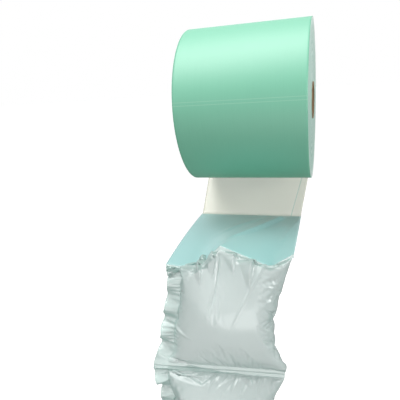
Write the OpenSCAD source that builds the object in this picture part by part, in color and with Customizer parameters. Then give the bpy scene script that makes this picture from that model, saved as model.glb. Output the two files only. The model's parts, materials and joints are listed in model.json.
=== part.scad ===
// Roll of air pillow film on a paper core. The film is a flattened tube, wound up flat.
// Its leading end is unrolled: it runs down and forward, round one bend, to two pillows hung in a chain.
// Origin: the middle of the core's bore. +X runs along the core to the film's folded edge.
// -Y is the front and +Z is up.
// All sizes are in millimetres.

/* [Film] */
// Width of the film, from its open edge to its folded edge
film_w = 200; // [150:5:260]
// Thickness of flat film, as a solid
web_t = 1.2; // [0.8:0.1:2]

/* [Wound roll] */
// Outside diameter of the wound turns
roll_d = 256; // [180:2:300]
// Furthest that a band of turns stands back from the roll's end face
turn_step = 1.2; // [0:0.1:3]
// Number of bands of turns on an end face
turn_bands = 10; // [3:1:16]

/* [Core] */
// Bore of the paper core
core_bore_d = 51; // [40:0.5:80]
// Wall of the paper core
core_wall = 4.5; // [3:0.5:8]
// Length of core past the turns at each end
core_proud = 1.5; // [0:0.5:6]

/* [Unrolled web] */
// Height of the roll's axis above the centre of the bend
bend_drop = 191; // [175:1:240]
// Distance of the bend's centre in front of the roll's axis
bend_front = 14; // [0:1:40]
// Inside radius of the bend
bend_r = 10; // [6:0.5:20]
// Width of film that is folded under at the bend, on the folded edge's side
edge_fold = 15; // [0:1:30]
// Sideways drift of the web towards its open edge
web_drift = 4; // [0:0.5:12]

/* [Top seal] */
// Distance of the top seal in front of the roll's axis
seal_front = 213; // [150:1:230]
// Height of the roll's axis above the top seal
seal_drop = 194; // [185:1:260]
// Height of the tallest gather in the top seal
gather_h = 20; // [0:0.5:24]
// Width that the gathers take out of the top seal
gather_in = 12; // [0:1:30]

/* [Pillows] */
// Length of an inflated pillow between its cross seals
pillow_l = 170; // [140:1:220]
// Thickness of the first pillow, which its gathered seal keeps flatter
pillow_1_t = 60; // [30:1:90]
// Thickness of the second pillow
pillow_2_t = 84; // [30:1:90]
// Width of the flat seal on each side of a perforation
seal_w = 6; // [3:0.5:12]
// Width of the loose skirt outside the long seal, on the open edge's side
skirt_w = 22; // [12:1:35]
// Angle that the skirt's ruffles swing to each side
ruffle_a = 30; // [0:1:45]
// Number of ruffles along a pillow
ruffles = 5; // [2:1:6]
// Distance that the folded edge draws in at the middle of a pillow
side_pull = 24; // [0:1:32]
// Distance that the skirt's edge draws in at the middle of a pillow
skirt_pull = 5; // [0:1:15]
// Depth of the puckers that fan out from a cross seal
pucker_h = 2.5; // [0:0.5:4]
// Number of puckers across a pillow
puckers = 5; // [2:1:7]

/* [Chain] */
// Angle of the first pillow off the vertical
hang_1 = 12.5; // [5:0.5:35]
// Angle of the second pillow off the vertical
hang_2 = 3; // [0:1:15]
// Lean of the chain towards the open edge
lean = 4.5; // [0:0.5:10]
// Turn of the chain about its own length
twist = 8; // [0:0.5:15]

/* [Hidden] */

FILM_GREEN = [0.60, 0.85, 0.77];
PILLOW_GREY = [0.72, 0.82, 0.80];
BOARD_BROWN = [0.72, 0.57, 0.40];

roll_r = roll_d / 2;
core_r = core_bore_d / 2 + core_wall;
core_l = film_w + 2 * core_proud;

// Sides of every round part
ROUND = 160;
// Cells of the film's grid: across the skirt, across the chamber and along each stretch
SKIRT_CELLS = 4;
CHAMBER_CELLS = 20;
SLOPE_ROWS = 6;
BEND_ROWS = 8;
FRONT_ROWS = 12;
PILLOW_ROWS = 40;
cells = SKIRT_CELLS + CHAMBER_CELLS;
web_rows = SLOPE_ROWS + BEND_ROWS + FRONT_ROWS;
skirt_share = skirt_w / film_w;

// Gathers of the top seal: place across the film, then shift, set-back and rise as shares of gather_h
GATHERS = [
    [0.00, 0.1, 0.3, -0.65],
    [0.23, 0.4, 0.0, -0.8],
    [0.47, -0.1, 0.2, 1.0],
    [0.83, 0.15, -0.5, -0.2],
    [1.00, 0.1, -0.2, 0.7],
];
// How a pillow fills: powers of the sine across it, at its top and at its bottom, then its bow to the front
FILL_1 = [0.32, 0.36, 0.62, 3];
FILL_2 = [0.60, 0.46, 0.52, 0.5];

function lerp(a, b, t) = a + (b - a) * t;
function clamp(t) = min(1, max(0, t));
function ease(t) = t * t * (3 - 2 * t);
function unit(v) = v / norm(v);
// A direction square to the film's width, at angle a in the YZ plane
function square(a) = [0, cos(a), sin(a)];
// The direction of the film's width, turned about the vertical and tilted
function width_dir(turn, tilt) = [cos(turn) * cos(tilt), sin(turn) * cos(tilt), -sin(tilt)];
// Share of the film's width at column i
function across(i) = i <= SKIRT_CELLS
    ? skirt_share * i / SKIRT_CELLS
    : lerp(skirt_share, 1, (i - SKIRT_CELLS) / CHAMBER_CELLS);
// Offset of the top seal's gathers at share u of the width
function gather(u) = gather_h * [for (way = [1, 2, 3]) lookup(u, [for (g = GATHERS) [g[0], g[way]]])];

// The web's middle surface leaves the roll where one line touches both the roll and the bend
wrap_r = roll_r + web_t / 2;
turn_r = bend_r + web_t / 2;
bend_c = [0, -bend_front, -bend_drop];
leave_a = atan2(-bend_drop, -bend_front) + acos((wrap_r - turn_r) / norm(bend_c));
bend_w = film_w - edge_fold;
bend_shift = [-edge_fold / 2 - web_drift, 0, 0];
web_start = wrap_r * square(leave_a);
bend_start = bend_c + turn_r * square(leave_a) + bend_shift;

// Cross seals: middle, vector across the film, and direction through it
gathered_w = film_w - gather_in;
seal_1_c = [-gather_in / 2 - web_drift, -seal_front, -seal_drop];
run = [0, seal_1_c[1], seal_1_c[2]] - bend_c;
exit_a = atan2(run[2], run[1]) + acos(turn_r / norm(run));
bend_end = bend_c + turn_r * square(exit_a) + bend_shift;

function hang_dir(a) = [-sin(lean) * cos(a), -sin(a), -cos(lean) * cos(a)];
seal_2_c = seal_1_c + pillow_l * hang_dir(hang_1);
seal_3_c = seal_2_c + pillow_l * hang_dir(hang_2);
seal_1_dir = width_dir(twist / 2, 0);
seal_2_dir = width_dir(twist, lean / 2);
through_1 = unit(cross(seal_1_dir + seal_2_dir, hang_dir(hang_1)));
through_2 = unit(cross(seal_2_dir, hang_dir(hang_2)));
seal_1 = [seal_1_c, gathered_w * seal_1_dir, unit(square(exit_a) + through_1)];
seal_2 = [seal_2_c, film_w * seal_2_dir, unit(through_1 + through_2)];
seal_3 = [seal_3_c, film_w * seal_2_dir, through_2];

function on_seal(seal, u) = seal[0] + (u - 0.5) * seal[1];

// One row of the web: middle, vector across, direction through, and share of the gathers
function slope_row(t) = [
    lerp(web_start, bend_start, t),
    [lerp(film_w, bend_w, t), 0, 0],
    square(leave_a),
    0
];
function bend_row(t) = [
    bend_c + turn_r * square(lerp(leave_a, exit_a, t)) + bend_shift,
    [bend_w, 0, 0],
    square(lerp(leave_a, exit_a, t)),
    0
];
function front_row(t) = [
    lerp(bend_end, seal_1[0], t),
    lerp([bend_w, 0, 0], seal_1[1], t),
    unit(lerp(square(exit_a), seal_1[2], pow(t, 6))),
    t * t
];
function web_row(k) = k <= SLOPE_ROWS
    ? slope_row(k / SLOPE_ROWS)
    : k <= SLOPE_ROWS + BEND_ROWS
        ? bend_row((k - SLOPE_ROWS) / BEND_ROWS)
        : front_row((k - SLOPE_ROWS - BEND_ROWS) / FRONT_ROWS);

// Half the thickness of a pillow at share w of the chamber's width and share v of the length.
// The folded edge's side is fuller, and a smaller power fills an end or a side sooner
function swell(w, v, thick, fill) =
    let (
        l = clamp((v * pillow_l - seal_w) / (pillow_l - 2 * seal_w)),
        crown = pow(sin(180 * pow(w, 1.25)), fill[0]) * pow(sin(180 * l), lerp(fill[1], fill[2], l)),
        near_seal = exp(-8 * min(l, 1 - l)),
        pucker = pucker_h * near_seal * sin(180 * l) * 3 * cos(360 * puckers * w) * sin(180 * w)
    )
    web_t / 2 + max(0, (thick - web_t) / 2 * crown + pucker);

// A point of a pillow between two seals. side is -1 on its front film and 1 on its back film
function pillow_point(top, bottom, gathers, thick, fill, u, v, side) =
    let (
        w = clamp((u - skirt_share) / (1 - skirt_share)),
        mid = unit(cross(top[1] + bottom[1], bottom[0] - top[0])),
        through = unit(mid + (top[2] - mid) * pow(1 - v, 8) + (bottom[2] - mid) * pow(v, 8)),
        wide = unit(top[1] + bottom[1]),
        pull = sin(180 * v) * (skirt_pull * pow(1 - u, 8) - side_pull * pow(u, 10)),
        loose = min(1, 12 * v, 12 * (1 - v)),
        swing = ruffle_a * loose * sin(360 * ruffles * v),
        skirt = skirt_w * clamp(1 - u / skirt_share),
        ruffle = skirt * ((1 - cos(swing)) * wide + sin(swing) * through),
        bow = fill[3] * sqrt(sin(180 * v)) * sin(180 * w)
    )
    lerp(on_seal(top, u), on_seal(bottom, u), v) + pull * wide
        + gathers * pow(1 - v, 1.8) * gather(u)
        + ruffle + through * (side * swell(w, v, thick, fill) - bow);

// A closed solid between a front grid and a back grid of points, given as lists of rows
module film_solid(front, back) {
    rows = len(front);
    cols = len(front[0]);
    half = rows * cols;
    function at(r, c, layer) = layer * half + r * cols + c;
    function quad(a, b, c, d) = [[a, b, c], [a, c, d]];
    faces = [
        for (r = [0 : rows - 2], c = [0 : cols - 2])
            each quad(at(r, c, 0), at(r, c + 1, 0), at(r + 1, c + 1, 0), at(r + 1, c, 0)),
        for (r = [0 : rows - 2], c = [0 : cols - 2])
            each quad(at(r, c, 1), at(r + 1, c, 1), at(r + 1, c + 1, 1), at(r, c + 1, 1)),
        for (r = [0 : rows - 2])
            each quad(at(r, 0, 0), at(r + 1, 0, 0), at(r + 1, 0, 1), at(r, 0, 1)),
        for (r = [0 : rows - 2])
            each quad(at(r, cols - 1, 0), at(r, cols - 1, 1), at(r + 1, cols - 1, 1), at(r + 1, cols - 1, 0)),
        for (c = [0 : cols - 2])
            each quad(at(0, c, 0), at(0, c, 1), at(0, c + 1, 1), at(0, c + 1, 0)),
        for (c = [0 : cols - 2])
            each quad(at(rows - 1, c, 0), at(rows - 1, c + 1, 0), at(rows - 1, c + 1, 1), at(rows - 1, c, 1))
    ];
    points = [for (grid = [front, back], row = grid, p = row) p];
    polyhedron(points = points, faces = faces, convexity = 8);
}

// Spiral-wound paper tube
module core() {
    color(BOARD_BROWN)
        rotate([0, 90, 0])
            difference() {
                cylinder(h = core_l, r = core_r, center = true, $fn = ROUND);
                cylinder(h = core_l + 2, d = core_bore_d, center = true, $fn = ROUND);
            }
}

// The wound turns, as one ring. Bands of turns stand back a little from each end face
function band_back(k, phase) = k == turn_bands - 1 ? 0 : turn_step * (0.5 + 0.5 * sin(150 * k + phase));
module wound_film() {
    band = (roll_r - core_r) / turn_bands;
    top = [
        for (k = [0 : turn_bands - 1], edge = [0, 1])
            [core_r + band * (k + edge), film_w / 2 - band_back(k, 0)]
    ];
    foot = [
        for (k = [turn_bands - 1 : -1 : 0], edge = [1, 0])
            [core_r + band * (k + edge), -film_w / 2 + band_back(k, 70)]
    ];
    color(FILM_GREEN)
        rotate([0, 90, 0])
            rotate_extrude($fn = ROUND)
                polygon(concat(top, foot));
}

// Flat two-layer film between the roll and the first pillow
module film_web() {
    function side(s) = [
        for (k = [0 : web_rows])
            let (row = web_row(k))
                [for (i = [0 : cells])
                    on_seal(row, across(i)) + row[3] * gather(across(i)) + s * web_t / 2 * row[2]]
    ];
    color(FILM_GREEN)
        film_solid(side(-1), side(1));
}

module air_pillow(top, bottom, gathers, thick, fill) {
    function side(s) = [
        for (k = [0 : PILLOW_ROWS])
            [for (i = [0 : cells])
                pillow_point(top, bottom, gathers, thick, fill, across(i), k / PILLOW_ROWS, s)]
    ];
    color(PILLOW_GREY)
        film_solid(side(-1), side(1));
}

// Sealed pillow nearest the roll, gathered along its top seal
module air_pillow_1() {
    air_pillow(seal_1, seal_2, 1, pillow_1_t, FILL_1);
}

// Sealed pillow at the end of the chain
module air_pillow_2() {
    air_pillow(seal_2, seal_3, 0, pillow_2_t, FILL_2);
}

core();
wound_film();
film_web();
air_pillow_1();
air_pillow_2();
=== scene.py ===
import json
import math

import bmesh
import bpy
import numpy as np
from mathutils import Matrix, Vector


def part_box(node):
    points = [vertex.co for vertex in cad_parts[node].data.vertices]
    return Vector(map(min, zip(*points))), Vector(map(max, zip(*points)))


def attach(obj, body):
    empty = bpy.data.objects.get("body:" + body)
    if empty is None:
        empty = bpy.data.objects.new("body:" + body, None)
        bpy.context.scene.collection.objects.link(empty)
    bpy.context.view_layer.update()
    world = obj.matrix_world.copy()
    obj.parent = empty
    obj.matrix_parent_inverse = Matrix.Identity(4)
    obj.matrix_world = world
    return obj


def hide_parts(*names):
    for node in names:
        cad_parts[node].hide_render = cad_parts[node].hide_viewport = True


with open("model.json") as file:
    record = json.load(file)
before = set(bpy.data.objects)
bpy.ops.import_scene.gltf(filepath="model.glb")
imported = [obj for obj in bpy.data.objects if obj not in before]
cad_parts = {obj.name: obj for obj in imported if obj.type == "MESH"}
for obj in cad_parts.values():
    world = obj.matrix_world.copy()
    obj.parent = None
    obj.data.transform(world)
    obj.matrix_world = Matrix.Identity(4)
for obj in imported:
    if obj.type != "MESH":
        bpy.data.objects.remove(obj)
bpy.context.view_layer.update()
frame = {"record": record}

scene = bpy.context.scene
scene.view_settings.view_transform = "Standard"

# Camera. It stands in front of the roll and to its folded edge's side, level with the axis,
# and looks down along the chain of pillows at the photograph's angle.
yaw, pitch, tilt = -0.32098, -0.31765, -0.08636
ahead = Vector((math.sin(yaw) * math.cos(pitch), math.cos(yaw) * math.cos(pitch), math.sin(pitch)))
level = ahead.cross(Vector((0, 0, 1))).normalized()
above = level.cross(ahead)
right = math.cos(tilt) * level + math.sin(tilt) * above
up = -math.sin(tilt) * level + math.cos(tilt) * above
camera = bpy.data.objects.new("camera", bpy.data.cameras.new("camera"))
scene.collection.objects.link(camera)
facing = Matrix((right, up, -ahead)).transposed().to_4x4()
camera.matrix_world = Matrix.Translation((0.1346, -0.7381, 0.0772)) @ facing
camera.data.sensor_width = 36
camera.data.lens = 38.046
camera.data.clip_end = 60
scene.camera = camera


# Floor and light. A plain pale floor well below the chain, one wide soft lamp overhead, weak ones
# from both sides and from low in front, and a pale room that the camera and reflections see as white.
def put(tree, kind, sockets=None, **settings):
    node = tree.nodes.new(kind)
    for name, value in settings.items():
        setattr(node, name, value)
    for name, value in (sockets or {}).items():
        if isinstance(value, bpy.types.NodeSocket):
            tree.links.new(value, node.inputs[name])
        else:
            node.inputs[name].default_value = value
    return node


def calc(tree, operation, *values):
    return put(tree, "ShaderNodeMath", dict(enumerate(values)), operation=operation).outputs[0]


def plain_finish(name, color, roughness):
    finish = bpy.data.materials.new(name)
    finish.use_nodes = True
    shader = finish.node_tree.nodes["Principled BSDF"]
    shader.inputs["Base Color"].default_value = color
    shader.inputs["Roughness"].default_value = roughness
    return finish, finish.node_tree, shader


floor_finish, tree, shader = plain_finish("floor_paint", (0.4, 0.4, 0.4, 1), 0.8)
rays = put(tree, "ShaderNodeLightPath")
seen = calc(tree, "MAXIMUM", rays.outputs["Is Camera Ray"], rays.outputs["Is Transmission Ray"])
tree.links.new(calc(tree, "MULTIPLY", seen, 0.85), shader.inputs["Emission Strength"])
shader.inputs["Emission Color"].default_value = (1, 1, 1, 1)
floor_mesh = bpy.data.meshes.new("floor")
floor_mesh.from_pydata([(-12, -12, -0.9), (12, -12, -0.9), (12, 12, -0.9), (-12, 12, -0.9)], [], [(0, 1, 2, 3)])
floor_mesh.materials.append(floor_finish)
floor = bpy.data.objects.new("floor", floor_mesh)
scene.collection.objects.link(floor)


def lamp(name, place, aim, size, power):
    light = bpy.data.lights.new(name, "AREA")
    light.shape = "RECTANGLE"
    light.size, light.size_y = size
    light.energy = power
    holder = bpy.data.objects.new(name, light)
    scene.collection.objects.link(holder)
    turn = (Vector(aim) - Vector(place)).to_track_quat("-Z", "Y").to_matrix().to_4x4()
    holder.matrix_world = Matrix.Translation(place) @ turn


lamp("overhead_lamp", (-0.4, -0.4, 1.7), (-0.1, -0.2, 0), (1.2, 2.2), 42)
lamp("left_lamp", (-1.6, -1.3, 0.3), (0, -0.1, -0.2), (0.8, 0.8), 3)
lamp("right_lamp", (1.7, -0.7, 0.3), (0.1, -0.1, -0.1), (0.8, 0.8), 15)
lamp("low_lamp", (0.2, -2.0, -0.8), (0, -0.25, -0.4), (1.2, 1.2), 12)

room = bpy.data.worlds.new("room")
scene.world = room
room.use_nodes = True
tree = room.node_tree
tree.nodes.clear()
rays = put(tree, "ShaderNodeLightPath")
seen = calc(tree, "MAXIMUM", rays.outputs["Is Camera Ray"], rays.outputs["Is Glossy Ray"])
seen = calc(tree, "MAXIMUM", seen, rays.outputs["Is Transmission Ray"])
strength = calc(tree, "MULTIPLY_ADD", seen, 0.77, 0.23)
sky = put(tree, "ShaderNodeBackground", {"Color": (1, 1, 1, 1), "Strength": strength})
put(tree, "ShaderNodeOutputWorld", {"Surface": sky.outputs[0]})


# Core. A spiral-wound paper tube that the film is wound on, bare brown board, a little longer than the roll.
# One ring tree makes it and the wound turns: a section runs along the bore, up one end, back and down the other.
def ramp(tree, value, low, high, to_low=0.0, to_high=1.0):
    sockets = {"Value": value, "From Min": low, "From Max": high, "To Min": to_low, "To Max": to_high}
    return put(tree, "ShaderNodeMapRange", sockets, clamp=True).outputs["Result"]


def named_tree(name, kind, inputs, outputs):
    tree = bpy.data.node_groups.new(name, kind)
    for label, sort, value in inputs:
        socket = tree.interface.new_socket(label, in_out="INPUT", socket_type=sort)
        if value is not None:
            socket.default_value = value
    for label, sort in outputs:
        tree.interface.new_socket(label, in_out="OUTPUT", socket_type=sort)
    return tree, put(tree, "NodeGroupInput"), put(tree, "NodeGroupOutput")


ring_tree, given, made = named_tree("wound_ring", "GeometryNodeTree", [
    ("Geometry", "NodeSocketGeometry", None),
    ("Bore radius", "NodeSocketFloat", 0.03),
    ("Outside radius", "NodeSocketFloat", 0.1),
    ("Length", "NodeSocketFloat", 0.2),
    ("Cells round", "NodeSocketInt", 192),
    ("Cells along section", "NodeSocketInt", 100),
    ("Step back", "NodeSocketFloat", 0.0),
    ("Turns per metre", "NodeSocketFloat", 300.0),
    ("Seed", "NodeSocketFloat", 3.0),
    ("Finish", "NodeSocketMaterial", None),
], [("Geometry", "NodeSocketGeometry")])
tree = ring_tree
vertices_round = calc(tree, "ADD", given.outputs["Cells round"], 1)
vertices_along = calc(tree, "ADD", given.outputs["Cells along section"], 1)
grid = put(tree, "GeometryNodeMeshGrid", {
    "Size X": 1.0, "Size Y": 1.0, "Vertices X": vertices_round, "Vertices Y": vertices_along})
place = put(tree, "ShaderNodeSeparateXYZ", {0: put(tree, "GeometryNodeInputPosition").outputs[0]})
angle = calc(tree, "MULTIPLY", calc(tree, "ADD", place.outputs["X"], 0.5), -math.tau)
along = calc(tree, "ADD", place.outputs["Y"], 0.5)
rise = calc(tree, "SUBTRACT", ramp(tree, along, 0.04, 0.46), ramp(tree, along, 0.54, 1.0))
side = calc(tree, "SUBTRACT", ramp(tree, along, 0.0, 0.04, -1.0, 1.0), ramp(tree, along, 0.46, 0.54, 0.0, 2.0))
wall = calc(tree, "SUBTRACT", given.outputs["Outside radius"], given.outputs["Bore radius"])
radius = calc(tree, "MULTIPLY_ADD", wall, rise, given.outputs["Bore radius"])
turn = calc(tree, "MULTIPLY_ADD", radius, given.outputs["Turns per metre"], given.outputs["Seed"])
turn = calc(tree, "MULTIPLY_ADD", side, 40.0, turn)
uneven = put(tree, "ShaderNodeTexNoise", {"W": turn, "Scale": 1.0, "Detail": 3.0}, noise_dimensions="1D").outputs[0]
inner = calc(tree, "MULTIPLY", calc(tree, "GREATER_THAN", rise, 0.001), calc(tree, "LESS_THAN", rise, 0.97))
back = calc(tree, "MULTIPLY", calc(tree, "MULTIPLY", uneven, inner), given.outputs["Step back"])
reach = calc(tree, "SUBTRACT", calc(tree, "MULTIPLY", given.outputs["Length"], 0.5), back)
spot = put(tree, "ShaderNodeCombineXYZ", {
    "X": calc(tree, "MULTIPLY", side, reach),
    "Y": calc(tree, "MULTIPLY", radius, calc(tree, "COSINE", angle)),
    "Z": calc(tree, "MULTIPLY", radius, calc(tree, "SINE", angle))})
ring = put(tree, "GeometryNodeSetPosition", {"Geometry": grid.outputs["Mesh"], "Position": spot.outputs[0]})
ring = put(tree, "GeometryNodeMergeByDistance", {"Geometry": ring.outputs[0], "Distance": 0.00001})
ring = put(tree, "GeometryNodeRealizeInstances", {"Geometry": ring.outputs[0]})
ring = put(tree, "GeometryNodeSetMaterial", {"Geometry": ring.outputs[0], "Material": given.outputs["Finish"]})
tree.links.new(ring.outputs[0], made.inputs["Geometry"])


def grown(name, tree, **values):
    """A piece that a node tree makes, as a plain mesh with closed seams and faces that point outwards."""
    seed_mesh = bpy.data.meshes.new(name)
    piece = bpy.data.objects.new(name, seed_mesh)
    scene.collection.objects.link(piece)
    maker = piece.modifiers.new("maker", "NODES")
    maker.node_group = tree
    keys = {item.name: item.identifier for item in tree.interface.items_tree if item.in_out == "INPUT"}
    for label, value in values.items():
        maker[keys[label.replace("_", " ")]] = value
    plain = bpy.data.meshes.new_from_object(piece.evaluated_get(bpy.context.evaluated_depsgraph_get()))
    piece.modifiers.remove(maker)
    form = bmesh.new()
    form.from_mesh(plain)
    bmesh.ops.remove_doubles(form, verts=form.verts, dist=0.000005)
    bmesh.ops.recalc_face_normals(form, faces=form.faces)
    form.to_mesh(plain)
    form.free()
    plain.shade_smooth()
    plain.set_sharp_from_angle(angle=math.radians(40))
    plain.name = name
    piece.data = plain
    return piece


bore_r = frame["record"]["mounts"][0]["dims"]["r_mm"] / 1000
core_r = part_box("core")[1].z
core_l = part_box("core")[1].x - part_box("core")[0].x


def blended(tree, share, first, second, way="MIX"):
    return put(tree, "ShaderNodeMix", {0: share, 6: first, 7: second}, data_type="RGBA", blend_type=way).outputs[2]


board, tree, shader = plain_finish("core_board", (0.33, 0.2, 0.1, 1), 0.85)
place = put(tree, "ShaderNodeTexCoord").outputs["Object"]
spot = put(tree, "ShaderNodeSeparateXYZ", {0: place})
round_axis = calc(tree, "DIVIDE", calc(tree, "ARCTAN2", spot.outputs["Z"], spot.outputs["Y"]), math.tau)
ply = calc(tree, "FRACT", calc(tree, "MULTIPLY_ADD", spot.outputs["X"], 11.0, round_axis))
seam = calc(tree, "LESS_THAN", calc(tree, "ABSOLUTE", calc(tree, "SUBTRACT", ply, 0.5)), 0.012)
fibre = put(tree, "ShaderNodeTexNoise", {"Vector": place, "Scale": 900.0, "Detail": 4.0}).outputs[0]
cloud = put(tree, "ShaderNodeTexNoise", {"Vector": place, "Scale": 60.0, "Detail": 3.0}).outputs[0]
share = calc(tree, "MULTIPLY_ADD", fibre, 0.6, calc(tree, "MULTIPLY", cloud, 0.4))
tone = blended(tree, share, (0.27, 0.16, 0.085, 1), (0.42, 0.28, 0.16, 1))
tone = blended(tree, calc(tree, "MULTIPLY", seam, 0.6), tone, (0.45, 0.4, 0.35, 1), "MULTIPLY")
tree.links.new(tone, shader.inputs["Base Color"])
height = calc(tree, "SUBTRACT", calc(tree, "MULTIPLY", fibre, 0.3), seam)
relief = put(tree, "ShaderNodeBump", {"Height": height, "Strength": 0.6, "Distance": 0.0004})
tree.links.new(relief.outputs[0], shader.inputs["Normal"])

core = grown("paper_core", ring_tree, Bore_radius=bore_r, Outside_radius=core_r, Length=core_l,
             Cells_round=160, Cells_along_section=75, Finish=board)
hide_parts("core")
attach(core, "root")


# Wound film. Some hundreds of turns of flattened film tube, wound tight on the core. Only the ends of
# the turns show, as fine rings that stand back unevenly; a band of them at the free edge is painted pale, as painted
# light shining through the thin outer turns.
roll_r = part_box("wound_film")[1].z
film_w = 0.2
film_green = (0.15, 0.5, 0.33, 1)
deep_green = (0.36, 0.64, 0.53, 1)

grain_tree, given, made = named_tree("film_grain", "ShaderNodeTree", [
    ("Vector", "NodeSocketVector", None),
    ("Fine", "NodeSocketFloat", 1.0),
    ("Broad", "NodeSocketFloat", 1.0),
], [("Height", "NodeSocketFloat")])
fine, broad = (
    put(grain_tree, "ShaderNodeTexNoise", {
        "Vector": given.outputs["Vector"], "Scale": scale, "Detail": detail}).outputs[0]
    for scale, detail in ((1.0, 5.0), (0.12, 2.0)))
height = calc(grain_tree, "MULTIPLY", calc(grain_tree, "SUBTRACT", fine, 0.5), given.outputs["Fine"])
swell = calc(grain_tree, "MULTIPLY", calc(grain_tree, "SUBTRACT", broad, 0.5), given.outputs["Broad"])
grain_tree.links.new(calc(grain_tree, "ADD", height, swell), made.inputs["Height"])

edges, tree, shader = plain_finish("film_edges", film_green, 0.45)
place = put(tree, "ShaderNodeTexCoord").outputs["Object"]
spot = put(tree, "ShaderNodeSeparateXYZ", {0: place})
radius = calc(tree, "ADD", *(calc(tree, "POWER", spot.outputs[way], 2.0) for way in "YZ"))
radius = calc(tree, "SQRT", radius)
fine, bands = (
    put(tree, "ShaderNodeTexNoise", {
        "W": calc(tree, "MULTIPLY", radius, per_metre), "Scale": 1.0, "Detail": detail},
        noise_dimensions="1D").outputs[0] for per_metre, detail in ((2600.0, 4.0), (180.0, 2.0)))
share = ramp(tree, calc(tree, "MULTIPLY_ADD", fine, 0.55, calc(tree, "MULTIPLY", bands, 0.45)), 0.35, 0.65)
tone = blended(tree, share, deep_green, (0.74, 0.93, 0.86, 1))
# Painted light: the outermost turns are painted pale to stand for light shining through the thin film from behind.
painted_backlight_rim = ramp(tree, radius, roll_r - 0.012, roll_r - 0.004)
tone = blended(tree, painted_backlight_rim, tone, (0.8, 0.96, 0.9, 1))
tree.links.new(tone, shader.inputs["Base Color"])
relief = put(tree, "ShaderNodeBump", {"Height": fine, "Strength": 0.5, "Distance": 0.0006})
tree.links.new(relief.outputs[0], shader.inputs["Normal"])

wound = grown("wound_turns", ring_tree, Bore_radius=core_r, Outside_radius=roll_r, Length=film_w,
              Cells_round=256, Cells_along_section=150, Step_back=0.0012, Turns_per_metre=420.0, Finish=edges)
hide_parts("wound_film")
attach(wound, "root")


# Outer turn and web. The leading end of the film: once round the roll, off it at the back, down and
# forward, round a bend, and forward to the first cross seal. Two layers of film, folded along one edge.
skirt_w = 0.022
seal_w = 0.006
bend_r = 0.0103
bend_c = np.array([0, -0.014, -0.191])
edge_fold, web_drift, gather_in, gather_h = 0.015, 0.004, 0.012, 0.02
seal_1_c = np.array([-gather_in / 2 - web_drift, -0.213, -0.194])
# Gathers of the first cross seal: place across the film, then shift, set-back and rise as shares of gather_h
GATHERS = np.array([
    (0.00, 0.1, 0.3, -0.65), (0.23, 0.4, 0.0, -0.8), (0.47, -0.1, 0.2, 1.0),
    (0.83, 0.15, -0.5, -0.2), (1.00, 0.1, -0.2, 0.7)])


def square(a):
    return np.array([0, math.cos(math.radians(a)), math.sin(math.radians(a))])


def width_dir(turn, lean):
    t, l = math.radians(turn), math.radians(lean)
    return np.array([math.cos(t) * math.cos(l), math.sin(t) * math.cos(l), -math.sin(l)])


def ungathered_seal(u):
    return seal_1_c + (u - 0.5) * (film_w - gather_in) * width_dir(4, 0)


def first_seal(u):
    gather = [np.interp(u, GATHERS[:, 0], GATHERS[:, way]) for way in (1, 2, 3)]
    return ungathered_seal(u) + gather_h * np.array(gather)


def film_mesh(name, front, back, across, along):
    """A closed skin between a front and a back grid of points. Its UV is its flat place on the film in metres."""
    rows, cols = front.shape[:2]
    here = np.arange(rows * cols).reshape(rows, cols)
    there = here + rows * cols
    a, b, c, d = here[:-1, :-1], here[:-1, 1:], here[1:, 1:], here[1:, :-1]
    e, f, g, h = there[:-1, :-1], there[:-1, 1:], there[1:, 1:], there[1:, :-1]
    faces = [np.stack(x, -1).reshape(-1, 4) for x in ((a, b, c, d), (e, h, g, f))]
    faces.append(np.stack((here[:-1, 0], here[1:, 0], there[1:, 0], there[:-1, 0]), -1))
    faces.append(np.stack((here[:-1, -1], there[:-1, -1], there[1:, -1], here[1:, -1]), -1))
    faces.append(np.stack((here[0, :-1], there[0, :-1], there[0, 1:], here[0, 1:]), -1))
    faces.append(np.stack((here[-1, :-1], here[-1, 1:], there[-1, 1:], there[-1, :-1]), -1))
    faces = np.concatenate(faces)
    mesh = bpy.data.meshes.new(name)
    mesh.from_pydata(np.concatenate((front.reshape(-1, 3), back.reshape(-1, 3))).tolist(), [], faces.tolist())
    flat = np.stack(np.meshgrid(across, along), -1).reshape(-1, 2)
    flat = np.concatenate((flat, flat))
    mesh.uv_layers.new(name="film").data.foreach_set("uv", flat[faces.ravel()].ravel())
    form = bmesh.new()
    form.from_mesh(mesh)
    bmesh.ops.recalc_face_normals(form, faces=form.faces)
    form.to_mesh(mesh)
    form.free()
    mesh.shade_smooth()
    piece = bpy.data.objects.new(name, mesh)
    scene.collection.objects.link(piece)
    return piece


def through(points):
    """Unit directions square to a grid of points."""
    normal = np.cross(np.gradient(points, axis=1), np.gradient(points, axis=0))
    return normal / np.maximum(np.linalg.norm(normal, axis=2, keepdims=True), 1e-12)


def soft_step(t):
    t = np.clip(t, 0, 1)
    return t * t * (3 - 2 * t)


def creased(u, v, wide, long, creases):
    """Height of sharp creases at shares u and v of a wide by long film. Each runs from one place to another, with
    its height and half width in metres at its start, and its crest's lean to the right from -1 to 1."""
    lift = np.zeros_like(u)
    for (u0, v0), (u1, v1), height, half, lean in creases:
        reach = np.array(((u1 - u0) * wide, (v1 - v0) * long))
        length = np.linalg.norm(reach)
        du, dv = (u - u0) * wide, (v - v0) * long
        t = (du * reach[0] + dv * reach[1]) / length ** 2
        side = (du * reach[1] - dv * reach[0]) / length / (half * np.clip(1.05 - t, 0.05, 1))
        crest = np.clip(np.minimum((1 + side) / (1 + lean), (1 - side) / (1 - lean)), 0, 1)
        lift += height * crest * soft_step(t / 0.15 + 0.2) * soft_step((1 - t) / 0.6)
    return lift


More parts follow.
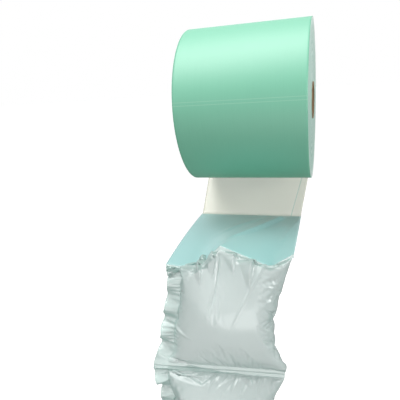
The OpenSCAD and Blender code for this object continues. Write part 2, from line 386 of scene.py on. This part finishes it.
wrap_r, wrap_turn = roll_r + 0.0003, 357
reach = math.hypot(bend_c[1], bend_c[2])
leave = math.degrees(math.atan2(bend_c[2], bend_c[1]) + math.acos((wrap_r - bend_r) / reach))
run = seal_1_c * (0, 1, 1) - bend_c
turn_off = math.degrees(math.atan2(run[2], run[1]) + math.acos(bend_r / np.linalg.norm(run)))
shift = np.array([-edge_fold / 2 - web_drift, 0, 0])
bend_w = film_w - edge_fold
across = np.linspace(0, 1, 61)
rows, part = [], []
TURN_ROWS, SLOPE_ROWS, BEND_ROWS, WEB_ROWS = 199, 30, 11, 61
for t in np.linspace(1, 0, TURN_ROWS + 1)[:-1]:
    rows.append([wrap_r * square(leave + wrap_turn * t) + ((u - 0.5) * film_w, 0, 0) for u in across])
    part.append(0)
start, end = wrap_r * square(leave), bend_c + bend_r * square(leave) + shift
for t in np.linspace(0, 1, SLOPE_ROWS + 1)[:-1]:
    rows.append([start + (end - start) * t + ((u - 0.5) * (film_w - edge_fold * t), 0, 0) for u in across])
    part.append(1)
for t in np.linspace(0, 1, BEND_ROWS + 1)[:-1]:
    round_bend = bend_c + shift + bend_r * square(leave + (turn_off - leave) * t)
    rows.append([round_bend + ((u - 0.5) * bend_w, 0, 0) for u in across])
    part.append(1)
last = bend_c + shift + bend_r * square(turn_off)
WEB_CREASES = [
    ((0.80, 0.0), (0.38, 0.8), 0.006, 0.016, 0.85), ((0.64, 0.03), (0.2, 0.63), 0.0015, 0.012, 0.4),
    ((0.72, 0.03), (0.4, 0.6), 0.001, 0.008, 0.5), ((1.0, 0.02), (0.8, 0.97), 0.002, 0.006, 0.3),
    ((0.93, 0.3), (0.62, 0.45), 0.001, 0.02, -0.5)]
for t in np.linspace(0, 1, WEB_ROWS):
    row = []
    for u in across:
        flat_line = last + ((u - 0.5) * bend_w, 0, 0)
        straight = ungathered_seal(u)
        near = np.clip(u + np.linspace(-0.16, 0.16, 9) * (1 - t), 0, 1)
        gather = sum(first_seal(w) - ungathered_seal(w) for w in near) / len(near)
        row.append(flat_line + (straight - flat_line) * t + gather * t ** 2)
    rows.append(row)
    part.append(1)
middle = np.array(rows)
part = np.array(part)
run_rows = middle[-WEB_ROWS:]
half = len(across) // 2
u, v = np.meshgrid(across, np.linspace(0, 1, WEB_ROWS))
run_length = np.linalg.norm(run_rows[-1, half] - run_rows[0, half])
lift = creased(u, v, film_w, run_length, WEB_CREASES) * soft_step(v / 0.08) * soft_step((1 - v) / 0.05)
run_rows -= through(run_rows) * lift[..., None]
length = np.concatenate(([0], np.cumsum(np.linalg.norm(np.diff(middle[:, half], axis=0), axis=1))))
skin = 0.00015 * through(middle)
web = film_mesh("outer_turn_and_web", middle - skin, middle + skin, across * film_w, length - length[-1])

seal_tree, given, made = named_tree("film_seals", "ShaderNodeTree", [
    ("Along", "NodeSocketFloat", 0.0),
    ("Pitch", "NodeSocketFloat", 0.2),
    ("Line width", "NodeSocketFloat", 0.0006),
], [("Line", "NodeSocketFloat"), ("Band", "NodeSocketFloat")])
tree = seal_tree
step = calc(tree, "PINGPONG", given.outputs["Along"], calc(tree, "MULTIPLY", given.outputs["Pitch"], 0.5))
from_line = calc(tree, "ABSOLUTE", calc(tree, "SUBTRACT", step, 0.0025))
tree.links.new(calc(tree, "LESS_THAN", from_line, given.outputs["Line width"]), made.inputs["Line"])
tree.links.new(calc(tree, "LESS_THAN", step, seal_w), made.inputs["Band"])


def film_finish(name, color, roughness, fine, broad, weave, pitch, line):
    """Film with its extrusion streaks, weave cycles per metre across and along, and its printed-on seal lines."""
    finish, tree, shader = plain_finish(name, color, roughness)
    spot = put(tree, "ShaderNodeUVMap", uv_map="film").outputs[0]
    flat = put(tree, "ShaderNodeSeparateXYZ", {0: spot})
    seals = put(tree, "ShaderNodeGroup", node_tree=seal_tree)
    tree.links.new(flat.outputs["Y"], seals.inputs["Along"])
    seals.inputs["Pitch"].default_value = pitch
    stretch = put(tree, "ShaderNodeVectorMath", {0: spot, 1: (*weave, 1.0)}, operation="MULTIPLY").outputs[0]
    grain = put(tree, "ShaderNodeGroup", node_tree=grain_tree)
    tree.links.new(stretch, grain.inputs["Vector"])
    grain.inputs["Fine"].default_value = fine
    grain.inputs["Broad"].default_value = broad
    tone = blended(tree, calc(tree, "MULTIPLY", seals.outputs["Line"], line), color, (0.75, 0.9, 0.85, 1))
    height = calc(tree, "MULTIPLY_ADD", seals.outputs["Line"], -line, grain.outputs["Height"])
    relief = put(tree, "ShaderNodeBump", {"Height": height, "Strength": 0.4, "Distance": 0.0004})
    tree.links.new(relief.outputs[0], shader.inputs["Normal"])
    return finish, tree, shader, tone, flat


turn_film, tree, shader, tone, flat = film_finish(
    "wound_film_face", film_green, 0.53, 1.0, 1.5, (900.0, 5.0), 0.2098, 0.12)
shader.inputs["IOR"].default_value = 2.0
tree.links.new(tone, shader.inputs["Base Color"])

web_film, tree, shader, tone, flat = film_finish(
    "web_film", (0.37, 0.67, 0.66, 1), 0.3, 0.8, 1.0, (300.0, 60.0), 0.2098, 0.2)
shader.inputs["IOR"].default_value = 1.7
leaves, bends = (float(length[row] - length[-1]) for row in (TURN_ROWS, -WEB_ROWS))
above_bend = ramp(tree, flat.outputs["Y"], bends - 0.004, bends + 0.004, 1.0, 0.0)
fold = calc(tree, "SUBTRACT", flat.outputs["X"], ramp(tree, flat.outputs["Y"], leaves, bends, 0.196, 0.181))
fold = calc(tree, "LESS_THAN", calc(tree, "ABSOLUTE", fold), 0.0011)
# Painted light: from the roll down to the bend the film is painted pale beige, standing for light shining through it
# from behind; the green line along the folded edge is the doubled film's own colour.
pale = blended(tree, calc(tree, "MULTIPLY", fold, 0.8), (0.8, 0.79, 0.62, 1), (0.3, 0.56, 0.42, 1))
tree.links.new(blended(tree, above_bend, tone, pale), shader.inputs["Base Color"])
tree.links.new(calc(tree, "MULTIPLY_ADD", above_bend, -0.34, 0.78), shader.inputs["Alpha"])
web.data.materials.append(turn_film)
web.data.materials.append(web_film)
cells = len(across) - 1
on_part = [np.repeat(part[:-1], cells)] * 2 + [part[:-1]] * 2 + [np.full(cells, part[0]), np.full(cells, part[-1])]
on_part = np.concatenate(on_part)
web.data.polygons.foreach_set("material_index", on_part.astype(np.int32))
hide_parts("film_web")
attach(web, "root")


# Air pillows. Lengths of the film tube between cross seals, filled with air on one side of a long seal,
# with a loose two-layer skirt outside it. Their seals hold them in a chain that hangs from the web.
PITCH = 0.2032
LEAN = 4.5
RUFFLES = 5


def hang_dir(a):
    a, l = math.radians(a), math.radians(LEAN)
    return np.array([-math.sin(l) * math.cos(a), -math.sin(a), -math.cos(l) * math.cos(a)])


def unit(v):
    v = np.asarray(v, float)
    return v / np.maximum(np.linalg.norm(v, axis=-1, keepdims=True), 1e-12)


hung_length = 0.17
second_rise, second_in = 0.004, 0.006
seal_2_c = seal_1_c + hung_length * hang_dir(12.5)
seal_3_c = seal_2_c + hung_length * hang_dir(3)


def second_seal(u):
    return seal_2_c + (0, 0, second_rise) + (u - 0.5) * (film_w - second_in) * width_dir(8, LEAN / 2)


def third_seal(u):
    return seal_3_c + (u - 0.5) * film_w * width_dir(8, LEAN / 2)


def blown_up(name, top, bottom, top_lie, bottom_lie, rows, skirt_cells, chamber_cells, frames):
    """Front and back grids of two flat layers of film, welded along their seals, drawn to their places and
    filled with air, at ten times size. top_lie and bottom_lie are the ways that the flat seals run down."""
    size = 10
    across = np.linspace(0, skirt_w, skirt_cells + 1)[:-1]
    across = np.concatenate((across, np.linspace(skirt_w, film_w, chamber_cells + 1)))
    along = np.linspace(0, PITCH, rows + 1)
    high, low = (top(0.0) + top(1.0)) / 2, bottom(0.5)
    wide = unit(top(1.0) - top(0.0))
    down = low - high
    down = unit(down - wide * (down @ wide))
    out = np.cross(wide, down)
    centre = (high + low) / 2
    place = np.zeros((2, rows + 1, len(across)), int)
    start, hung, held = [], [], []
    for layer in (0, 1):
        for r, y in enumerate(along):
            for c, x in enumerate(across):
                band = y <= seal_w or y >= PITCH - seal_w
                weld = band or c == len(across) - 1 or c == skirt_cells
                if weld and layer:
                    place[1, r, c] = place[0, r, c]
                    continue
                w = max(0.0, (x - skirt_w) / (film_w - skirt_w))
                u, v = x / film_w, y / PITCH
                rise = 0 if weld else 0.002 * math.sin(math.pi * v) * (math.sin(math.pi * w) if w > 0 else 0.1)
                ends = min(1, 30 * v, 30 * (1 - v)) * (math.exp(-v / 0.12) + math.exp((v - 1) / 0.12))
                rise += 0.001 * ends * math.sin(10 * math.pi * w) * (w > 0 and not weld)
                sway = 0.002 * max(0, 1 - x / skirt_w) * math.sin(2 * math.pi * 5.5 * v) * min(1, 8 * v, 8 * (1 - v))
                flat = centre + wide * (x - film_w / 2) + down * (y - PITCH / 2)
                flat = flat + out * (rise * (layer * 2 - 1) + sway)
                target = (1 - v) * top(u) + v * bottom(u)
                if y <= seal_w:
                    target = top(u) + top_lie * y
                if y >= PITCH - seal_w:
                    target = bottom(u) - bottom_lie * (PITCH - y)
                if band:
                    held.append(len(start))
                place[layer, r, c] = len(start)
                start.append(flat * size)
                hung.append(target * size)
    faces = []
    for r in range(rows):
        for c in range(len(across) - 1):
            quad = place[:, (r, r, r + 1, r + 1), (c, c + 1, c + 1, c)]
            faces.append(quad[0][::-1].tolist())
            if (quad[0] != quad[1]).any():
                faces.append(quad[1].tolist())
    mesh = bpy.data.meshes.new(name)
    mesh.from_pydata([tuple(p) for p in start], [], faces)
    bag = bpy.data.objects.new(name, mesh)
    scene.collection.objects.link(bag)
    bag.shape_key_add(name="flat")
    key = bag.shape_key_add(name="hung")
    key.data.foreach_set("co", np.array(hung).ravel())
    for value, time in ((0, 1), (1, 20)):
        key.value = value
        key.keyframe_insert("value", frame=time)
    bag.vertex_groups.new(name="held").add(held, 1, "REPLACE")
    bag.vertex_groups.new(name="air").add(np.unique(place[:, :, skirt_cells:]).tolist(), 1, "REPLACE")
    cloth = bag.modifiers.new("cloth", "CLOTH")
    film = cloth.settings
    film.quality = 5
    film.mass = 0.1
    film.tension_stiffness = film.compression_stiffness = 60
    film.shear_stiffness = 40
    film.bending_stiffness = 0.005
    film.tension_damping = film.compression_damping = film.shear_damping = 2
    film.bending_damping = 0.5
    film.air_damping = 1
    film.vertex_group_mass = "held"
    film.use_pressure = True
    film.uniform_pressure_force = 5
    film.vertex_group_pressure = "air"
    film.effector_weights.gravity = 0
    cloth.collision_settings.use_collision = False
    cloth.point_cache.frame_start = 1
    cloth.point_cache.frame_end = frames
    for time in range(1, frames + 1):
        scene.frame_set(time)
    blown = bag.evaluated_get(bpy.context.evaluated_depsgraph_get())
    points = np.zeros(len(start) * 3)
    blown.data.vertices.foreach_get("co", points)
    points = points.reshape(-1, 3) / size
    bpy.data.objects.remove(bag)
    scene.frame_set(1)
    return points[place[0]], points[place[1]], across, along


def finer(grid, axis):
    """The grid with a smooth middle point between every two neighbours along one axis."""
    grid = np.moveaxis(grid, axis, 0)
    more = np.zeros((2 * len(grid) - 1,) + grid.shape[1:])
    more[::2] = grid
    more[1::2] = (grid[:-1] + grid[1:]) / 2
    if len(grid) > 3:
        more[3:-3:2] = (9 * (grid[1:-2] + grid[2:-1]) - grid[:-3] - grid[3:]) / 16
    return np.moveaxis(more, 0, axis)


def ruffled(front, back, across, along, top, bottom):
    """The same film with its loose skirt swung to and fro about the long seal."""
    seal = int(np.argmin(abs(across - skirt_w)))
    line = (front[:, seal] + back[:, seal]) / 2
    v = along / PITCH
    spread = int(0.12 * len(line))
    padded = np.concatenate((np.repeat(line[:1], spread, 0), line, np.repeat(line[-1:], spread, 0)))
    tangent = unit(padded[2 * spread:] - padded[:len(line)])
    wide = unit(bottom(1.0) - bottom(0.0))
    toward = unit(wide - tangent * (tangent @ wide)[:, None])
    out = unit(np.cross(toward, tangent))
    hold = soft_step((np.minimum(v, 1 - v) * PITCH - 0.005) / 0.009)
    ends = soft_step(np.minimum(v, 1 - v) / 0.16)
    even = np.stack([padded[i:i + 2 * spread + 1].mean(0) for i in range(len(line))])
    swing = np.radians(20 + 6 * np.sin(9 * v + 1)) * ends
    swing *= np.sin(2 * np.pi * (RUFFLES * v + 0.05 * np.sin(11 * v)))
    crinkle = np.sin(2 * np.pi * (21 * v + 0.9 * np.sin(17 * v))) * (0.6 + 0.4 * np.sin(9 * v + 2))
    for c in range(seal):
        s, u = skirt_w - across[c], across[c] / film_w
        straight = np.outer(1 - v, top(u) - top(skirt_w / film_w))
        straight += np.outer(v, bottom(u) - bottom(skirt_w / film_w))
        loose = s * (-np.cos(swing)[:, None] * toward + np.sin(swing)[:, None] * out)
        loose += (0.0016 * crinkle * s / 0.006 * math.exp(1 - s / 0.006))[:, None] * out
        loose += (even - line) * s / skirt_w
        place = line + straight + (loose - straight) * hold[:, None]
        gap = 0.0006 * np.sin(np.pi * s / skirt_w) * hold[:, None] * out
        front[:, c], back[:, c] = place - gap, place + gap


def puckered(grid, across, along, outward, creases):
    """The same film with its creases and the fine crinkles that fan out from the long seal."""
    u, v = np.meshgrid(across / film_w, along / PITCH)
    shift = creased(u, v, film_w, PITCH, creases)
    far = np.clip(across - skirt_w, 0, None)
    fan = np.sin(2 * np.pi * (21 * v + 0.9 * np.sin(17 * v) + 6 * u)) * (0.6 + 0.4 * np.sin(9 * v + 2))
    shift += 0.0011 * fan * (far / 0.003 * np.exp(1 - far / 0.003))[None, :]
    clear = soft_step((np.minimum(along, PITCH - along) - seal_w) / 0.006)[:, None]
    clear = clear * (across > skirt_w + 0.001)[None, :]
    grid += outward * (shift * clear * soft_step((film_w - across) / 0.004)[None, :])[..., None]


def air_pillow(name, top, bottom, top_lie, bottom_lie, before, drawn, creases, **fineness):
    """A pillow's closed skin. drawn lists where a side draws to the right: 1 for the left side or 0 for the right
    one, how far in metres, at what share of the length, over what share, and the power that it fades with."""
    front, back, across, along = blown_up(name + "_form", top, bottom, unit(top_lie), unit(bottom_lie), **fineness)
    front, back = (finer(finer(grid, 0), 1) for grid in (front, back))
    across, along = finer(across, 0), finer(along, 0)
    u, v = np.meshgrid(across / film_w, along / PITCH)
    move = sum(
        far * abs(side - u) ** power * np.exp(-((v - at) / spread) ** 2) for side, far, at, spread, power in drawn)
    move = (move * soft_step(np.minimum(v, 1 - v) / 0.1))[..., None] * unit(bottom(1.0) - bottom(0.0))
    front, back = front + move, back + move
    ruffled(front, back, across, along, top, bottom)
    puckered(front, across, along, -through(front), creases)
    puckered(back, across, along, through(back), creases[::2])
    skin = 0.0001 * through((front + back) / 2)
    return film_mesh(name, front - skin, back + skin, across, along + before)


fineness = dict(rows=72, skirt_cells=8, chamber_cells=64, frames=44)
pillow_film, tree, shader, tone, flat = film_finish(
    "pillow_film", (0.5, 0.63, 0.6, 1), 0.16, 0.5, 1.0, (160.0, 60.0), PITCH, 0.3)
shader.inputs["IOR"].default_value = 1.85
band = put(tree, "ShaderNodeGroup", {"Along": flat.outputs["Y"], "Pitch": PITCH}, node_tree=seal_tree)
band = band.outputs["Band"]
loose = ramp(tree, flat.outputs["X"], skirt_w - 0.001, skirt_w + 0.012, 1.0, 0.0)
loose = calc(tree, "MAXIMUM", loose, calc(tree, "MULTIPLY", band, 0.7))
tree.links.new(blended(tree, loose, tone, (0.5, 0.7, 0.65, 1)), shader.inputs["Base Color"])
face = put(tree, "ShaderNodeLayerWeight", {"Blend": 0.4}).outputs["Facing"]
tree.links.new(ramp(tree, face, 0.0, 1.0, 0.48, 0.95), shader.inputs["Alpha"])
UPPER_CREASES = [
    ((0.27, 0.04), (0.37, 0.33), 0.008, 0.013, 0.6), ((0.38, 0.03), (0.44, 0.24), 0.008, 0.013, 0.7),
    ((0.54, 0.03), (0.60, 0.21), 0.007, 0.011, 0.6), ((0.67, 0.03), (0.72, 0.30), 0.009, 0.014, 0.7),
    ((0.83, 0.02), (0.57, 0.66), 0.002, 0.005, 0.3), ((1.0, 0.47), (0.80, 0.39), -0.005, 0.007, 0.0),
    ((1.0, 0.48), (0.80, 0.53), -0.005, 0.007, 0.0), ((0.10, 0.65), (0.34, 0.70), 0.002, 0.007, 0.0)]
LOWER_CREASES = [
    ((0.06, 0.03), (0.40, 0.13), 0.004, 0.011, 0.0), ((0.51, 0.02), (0.43, 0.22), 0.003, 0.005, 0.2),
    ((0.65, 0.02), (0.61, 0.18), 0.003, 0.005, 0.2), ((0.70, 0.02), (0.78, 0.12), 0.004, 0.009, 0.3),
    ((0.82, 0.02), (0.79, 0.09), 0.003, 0.006, 0.0), ((0.95, 0.02), (0.90, 0.12), 0.003, 0.008, 0.0)]
UPPER_DRAWN = [(1, 0.007, 0.45, 0.35, 3), (1, 0.011, 0.86, 0.09, 5), (0, 0.006, 0.86, 0.11, 6)]
LOWER_DRAWN = [(1, -0.015, 0.38, 0.24, 3)]
FIRST_LIE, SECOND_LIE, THIRD_LIE = (0, -0.55, -0.83), (-0.07, -0.25, -0.97), (-0.07, -0.05, -1)
upper = air_pillow("air_pillow_upper", first_seal, second_seal, FIRST_LIE, SECOND_LIE, 0.0,
                   UPPER_DRAWN, UPPER_CREASES, **fineness)
lower = air_pillow("air_pillow_lower", second_seal, third_seal, SECOND_LIE, THIRD_LIE, PITCH,
                   LOWER_DRAWN, LOWER_CREASES, **fineness)
for pillow, node in ((upper, "air_pillow_1"), (lower, "air_pillow_2")):
    pillow.data.materials.append(pillow_film)
    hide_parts(node)
    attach(pillow, "root")
